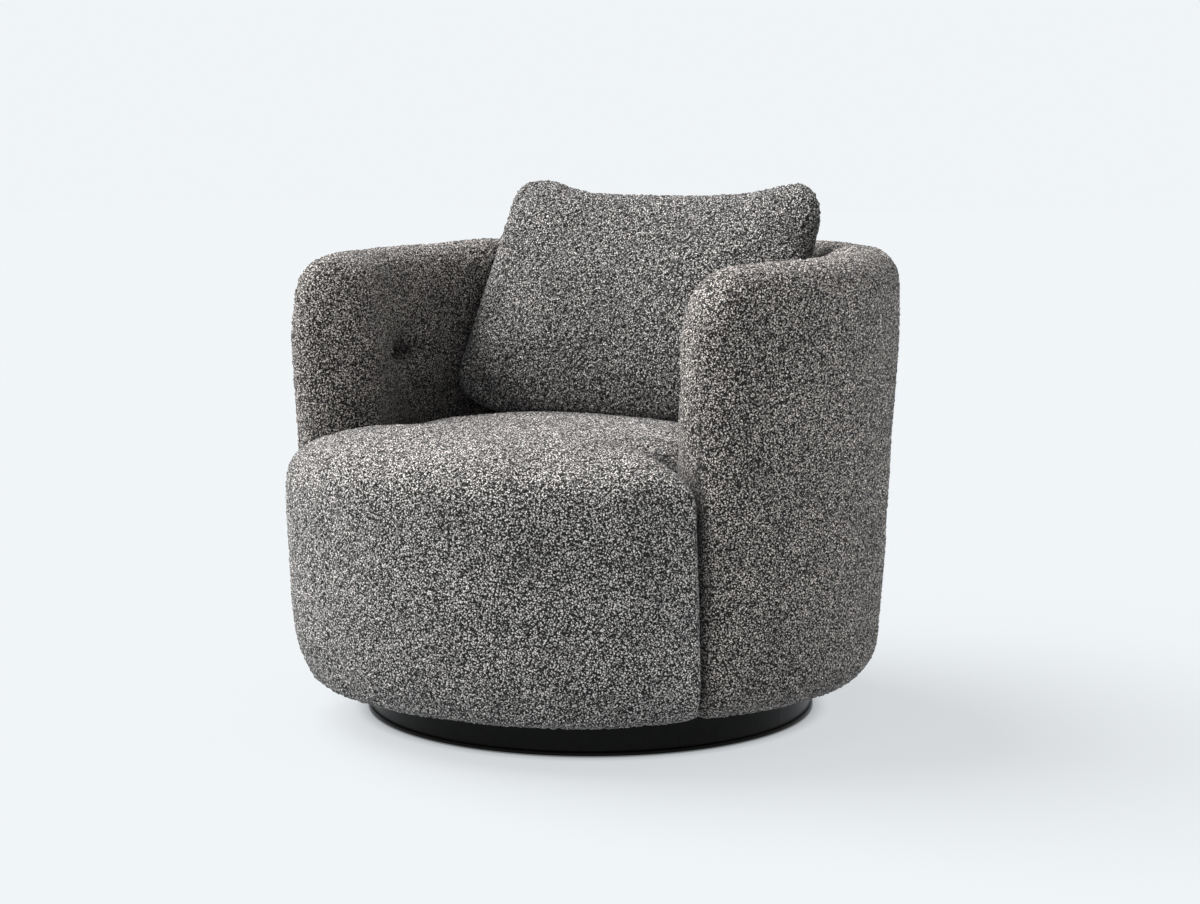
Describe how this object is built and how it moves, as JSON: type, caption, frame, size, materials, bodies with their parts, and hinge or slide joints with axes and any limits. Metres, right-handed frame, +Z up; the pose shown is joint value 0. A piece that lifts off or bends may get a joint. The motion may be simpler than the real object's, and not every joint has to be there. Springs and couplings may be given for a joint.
{
  "type": "tub chair",
  "caption": "Barrel-shaped lounge chair with a rolled wraparound back, crowned seat, loose back pillow and a round set-back swivel plinth.",
  "frame": {"origin": "on the swivel axis at the floor, which is the bottom centre of the chair's box", "axes": "+Z up along the swivel axis, -Y out of the front of the seat, +X to the right of a viewer who faces the front from -Y"},
  "size_m": [0.8428, 0.8475, 0.7173],
  "materials": {
    "felt": "pressed felt",
    "plinth_black": "gloss black lacquer on bent plywood",
    "ring_black": "gloss black",
    "plywood": "raw birch plywood",
    "hardboard": "raw bent hardboard",
    "zinc_steel": "zinc plated",
    "bolt_steel": "dark zinc",
    "bearing_steel": "polished",
    "cage_plastic": "natural nylon",
    "dust_cloth": "black non-woven cloth",
    "webbing": "woven elastic webbing",
    "foam": "open-cell foam",
    "fibre_fill": "fibre filling in its lining",
    "twine": "waxed twine",
    "boucle_tub": "boucle of dark grey, taupe and off-white yarns",
    "boucle_seat": "boucle of dark grey and off-white yarns",
    "boucle_pillow": "boucle of dark grey and off-white yarns"
  },
  "bodies": {
    "base": {"floor_pads": "felt", "floor_ring": "ring_black", "plinth_hoop": "plinth_black", "plinth_blocks": "plywood", "plinth_board": "plywood", "swivel_lower_plate": "zinc_steel", "lower_plate_bolts": "bolt_steel", "lower_tee_nuts": "zinc_steel", "pivot_pin": "bolt_steel", "bearing_balls": "bearing_steel", "ball_cage": "cage_plastic"},
    "chair": {"swivel_upper_plate": "zinc_steel", "upper_plate_bolts": "bolt_steel", "upper_tee_nuts": "zinc_steel", "base_board": "plywood", "dust_cover": "dust_cloth", "wall_ribs": "plywood", "arm_front_boards": "plywood", "front_ribs": "plywood", "seat_ring": "plywood", "top_rail": "plywood", "inner_panel": "hardboard", "outer_panel": "hardboard", "front_panel": "hardboard", "webbing_lengthwise": "webbing", "webbing_crosswise": "webbing", "tub_foam": "foam", "tub_cover": "boucle_tub", "tuft_ties": "twine", "seat_foam": "foam", "seat_cover": "boucle_seat"},
    "pillow": {"pillow_insert": "fibre_fill", "pillow_cover": "boucle_pillow"}
  },
  "joints": [
    {"name": "swivel", "type": "hinge", "parent": "base", "child": "chair", "pos_m": [0, 0, 0], "axis": [0, 0, 1], "continuous": true},
    {"name": "pillow_lift", "type": "slide", "parent": "chair", "child": "pillow", "axis": [0, 0, 1], "range_m": [0, 0.4]}
  ]
}
